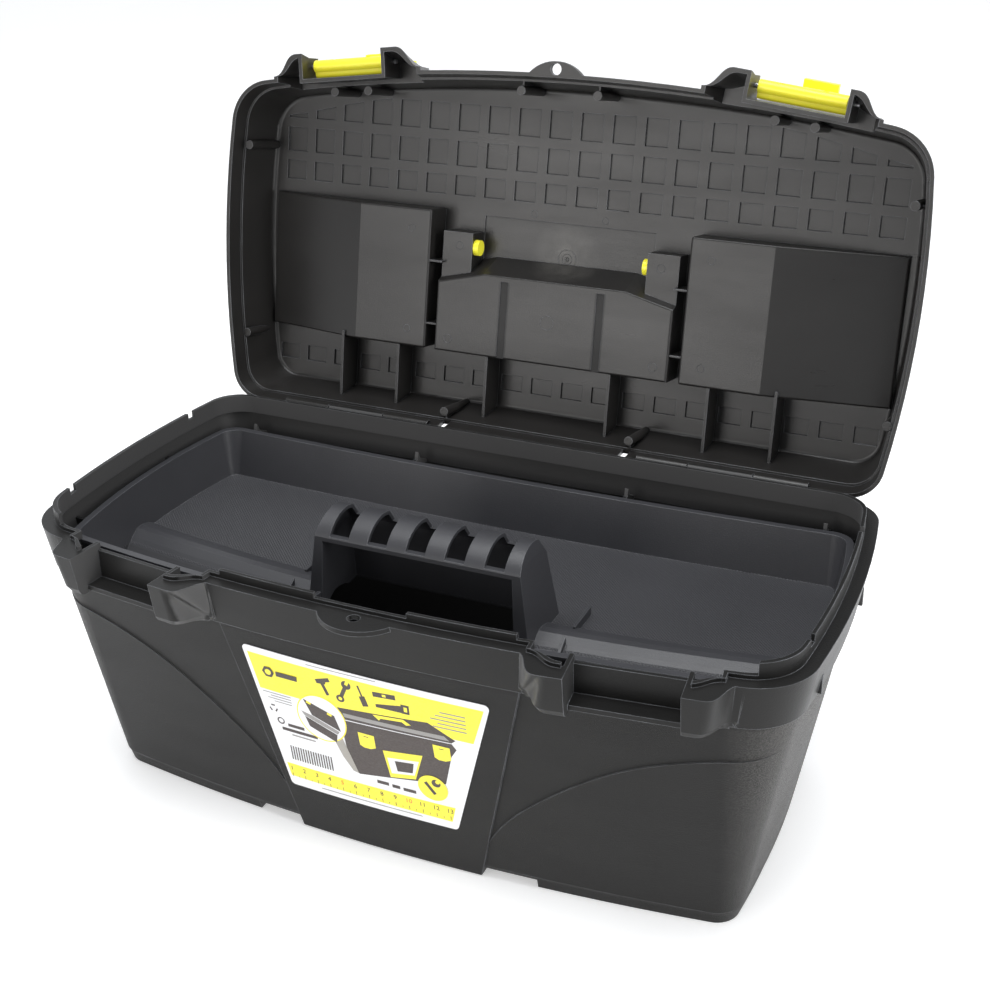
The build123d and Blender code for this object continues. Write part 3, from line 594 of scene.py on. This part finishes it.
def print_label():
    p = Print()
    p.shape(p.YELLOW, 1, [(-73.4, 95.8), (73.3, 93.3), (65.3, 68.4), (-68.9, 70.7)])
    print_ruler(p)
    print_tools(p)
    print_toolbox(p)
    p.disc(p.YELLOW, 8, 37.2, 28.4, 9.2, 44)
    p.box(p.BROWN, 9, 35.6, 28.0, 2.2, 9.6, 35)
    p.disc(p.BROWN, 9, 39.6, 32.6, 2.8, 20)
    p.disc(p.YELLOW, 10, 40.6, 33.8, 1.4, 16)
    p.disc(p.BROWN, 9, -61.0, 84.5, 4.0, 6)
    p.disc(p.YELLOW, 10, -61.0, 84.5, 2.0, 24)
    p.box(p.BROWN, 9, -48.8, 84.5, 14.0, 3.4)
    p.lines(p.GREY, 2, 62.0, 86.0, (15, 18, 21, 17, 20), 0.8, 2.7, right=True)
    p.lines(p.GREY, 2, -48.5, 69.0, (19, 14, 16, 12), 0.6, 1.9, right=True)
    p.lines(p.BROWN, 2, -54.0, 47.4, (11,), 2.2, 1.0)
    p.lines(p.BROWN, 2, -58.6, 43.6, (24,), 2.2, 1.0)
    p.lines(p.GREY, 2, -52.4, 40.4, (16,), 1.0, 1.0)
    p.lines(p.BROWN, 2, 1.4, 22.4, (7.5,), 2.4, 1.0)
    p.lines(p.BROWN, 2, 11.0, 22.0, (5.0,), 2.4, 1.0)
    p.lines(p.BROWN, 2, 18.0, 21.6, (8.0,), 2.4, 1.0)
    p.lines(p.GREY, 2, -34.0, 97.4, (44,), 0.5, 1.0)
    p.lines(p.GREY, 2, -38.0, 3.9, (66,), 0.6, 1.0)
    for i in range(17):
        p.box(p.BROWN, 2, -55.0 + 1.7 * i, 26.2, 0.8, 10.5)
    for i in range(3):
        a = math.radians(90 + 120 * i)
        u = -62.2 + 2.2 * math.cos(a)
        w = 57.6 + 2.2 * math.sin(a)
        p.box(p.BROWN, 2, u, w, 2.6, 1.0, math.degrees(a) + 90)
    p.disc(p.BROWN, 2, -58.6, 49.2, 2.5, 24)
    p.disc(p.PAPER, 3, -58.4, 49.4, 1.6, 20)
    p.finish()


# ---------------------------------------------------------------- small marks on the lid
def add_mesh(name, bm, material, body):
    bmesh.ops.recalc_face_normals(bm, faces=bm.faces[:])
    mesh = bpy.data.meshes.new(name)
    bm.to_mesh(mesh)
    bm.free()
    mesh.materials.append(material)
    obj = bpy.data.objects.new(name, mesh)
    bpy.context.scene.collection.objects.link(obj)
    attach(obj, body)


def ring(bm, tree, x, v, radius, width, height):
    """A low raised ring on the lid's inner skin."""
    hit, _, _, _ = tree.ray_cast(lid_spot(x, v, 2), LID_DEEP)
    if hit is None:
        return
    profile = ((-width, 0.25), (-width * 0.45, -height), (width * 0.45, -height), (width, 0.25))
    rows = []
    count = 28
    for i in range(count):
        a = 2 * math.pi * i / count
        row = []
        for dr, dw in profile:
            r = max(radius + dr, 0.02) * MM
            side = Vector((r * math.cos(a), 0, 0)) + LID_ALONG * (r * math.sin(a))
            row.append(bm.verts.new(hit + side + LID_DEEP * (dw * MM)))
        rows.append(row)
    for i in range(count):
        a = rows[i]
        b = rows[(i + 1) % count]
        for k in range(4):
            m = (k + 1) % 4
            bm.faces.new((a[k], b[k], b[m], a[m]))


def lid_marks():
    """Ejector rings and the gate's rings, as moulded."""
    tree = surface_tree("lid_shell")
    bm = bmesh.new()
    ejectors = (
        (70.5, 119.0, 2.6),
        (72.6, 56.8, 2.8),
        (104.0, 128.0, 2.4),
        (104.0, 60.0, 2.4),
        (25.0, 143.5, 2.2),
    )
    for side in (-1, 1):
        for x, v, radius in ejectors:
            ring(bm, tree, side * x, v, radius, 0.28, 0.14)
    ring(bm, tree, -2.0, 76.0, 4.6, 0.3, 0.10)
    for radius, width, height in ((1.1, 0.6, 0.55), (3.4, 0.4, 0.16), (6.2, 0.5, 0.12)):
        ring(bm, tree, 0.0, GATE_V, radius, width, height)
    add_mesh("lid_marks", bm, LID, "lid")


def pad(bm, x0, x1, v0, v1, skin, high, slope):
    """A low square pad with sloping sides on the lid's outer face."""
    levels = ((0.0, skin - 0.3), (slope, skin + high))
    rows = []
    for inset, w in levels:
        left, right = x0 + inset, x1 - inset
        near, far = v0 + inset, v1 - inset
        corners = ((left, near), (right, near), (right, far), (left, far))
        rows.append([bm.verts.new(lid_spot(x, v, w)) for x, v in corners])
    for k in range(4):
        m = (k + 1) % 4
        bm.faces.new((rows[0][k], rows[0][m], rows[1][m], rows[1][k]))
    bm.faces.new(rows[0][::-1])
    bm.faces.new(rows[1])


def lid_tread():
    """Raised squares on the outside of the lid, one behind each square pocket inside."""
    bm = bmesh.new()
    columns = 20
    pitch = 21.84
    half = 7.3      # half the width of a square
    skin = 43.4     # mm from the level of the hinge to the lid's outer face
    rows = ((193.0, 208.0), (170.1, 186.3), (150.8, 163.7), (23.1, 33.7))
    for i in range(columns):
        x = (i - 9.5) * pitch
        for v0, v1 in rows:
            if v0 > 190:    # the row by the latches is cut off by the bowed edge
                v1 = min(v1, 220.0 - (abs(x) + 7.5) ** 2 / 1560)
            if v1 - v0 > 4.0:
                pad(bm, x - half, x + half, v0 + 0.4, v1 - 0.4, skin, 0.8, 0.7)
    add_mesh("lid_tread", bm, LID, "lid")


# ---------------------------------------------------------------- studio
def area_light(name, place, target, size, watts, tint=(1.0, 1.0, 1.0)):
    data = bpy.data.lights.new(name, "AREA")
    data.shape = "RECTANGLE"
    data.size = size[0]
    data.size_y = size[1]
    data.energy = watts
    data.color = tint
    obj = bpy.data.objects.new(name, data)
    bpy.context.scene.collection.objects.link(obj)
    obj.location = place
    obj.rotation_euler = (Vector(target) - Vector(place)).to_track_quat("-Z", "Y").to_euler()


def surroundings():
    """Bright behind and below the object, dimmer where the photographer stands."""
    world = bpy.data.worlds.new("studio")
    bpy.context.scene.world = world
    world.use_nodes = True
    tree = world.node_tree
    back = tree.nodes["Background"]
    coord = tree.nodes.new("ShaderNodeTexCoord")
    dot = tree.nodes.new("ShaderNodeVectorMath")
    dot.operation = "DOT_PRODUCT"
    dot.inputs[1].default_value = (-0.38, 0.88, -0.28)
    tree.links.new(coord.outputs["Generated"], dot.inputs[0])
    span = tree.nodes.new("ShaderNodeMapRange")
    span.interpolation_type = "SMOOTHSTEP"
    span.inputs["From Min"].default_value = -0.3
    span.inputs["From Max"].default_value = 0.75
    span.inputs["To Min"].default_value = 0.42
    span.inputs["To Max"].default_value = 1.0
    tree.links.new(dot.outputs["Value"], span.inputs["Value"])
    tree.links.new(span.outputs["Result"], back.inputs["Strength"])
    back.inputs["Color"].default_value = (0.95, 0.97, 1.0, 1.0)


def studio():
    lo, hi = CAD_BOX
    mid = (lo + hi) / 2
    surroundings()
    area_light("key", (-0.68, -1.95, 0.62), (0.0, 0.1, 0.28), (0.9, 0.9), 11.0, (1.0, 0.98, 0.96))
    area_light("top", (0.0, -0.15, 2.2), mid, (1.5, 1.1), 33.0, (0.97, 0.985, 1.0))
    area_light("fill", (1.9, -0.3, 0.8), mid, (0.9, 1.3), 18.0)
    bm = bmesh.new()
    bmesh.ops.create_grid(bm, x_segments=24, y_segments=24, size=14.0)
    mesh = bpy.data.meshes.new("floor")
    bm.to_mesh(mesh)
    bm.free()
    floor = bpy.data.objects.new("floor", mesh)
    bpy.context.scene.collection.objects.link(floor)
    floor.location.z = lo.z - 0.0002
    mesh.materials.append(floor_material())


def photo_camera():
    """The photograph's viewpoint, in the model's frame."""
    data = bpy.data.cameras.new("photo_camera")
    data.sensor_width = 36.0
    data.lens = 55.70
    data.shift_x = 0.0034
    data.shift_y = -0.0273
    data.clip_end = 100.0
    cam = bpy.data.objects.new("photo_camera", data)
    bpy.context.scene.collection.objects.link(cam)
    right = Vector((0.9097, 0.4147, -0.0226))
    back = Vector((0.3836, -0.8182, 0.4282)).normalized()
    up = back.cross(right).normalized()
    right = up.cross(back).normalized()
    turn = Matrix((right, up, back)).transposed().to_4x4()
    cam.matrix_world = Matrix.Translation((0.3639, -0.76497, 0.5881)) @ turn
    bpy.context.scene.camera = cam


print_label()
lid_marks()
lid_tread()
studio()
photo_camera()
bpy.context.scene.view_settings.view_transform = "Standard"
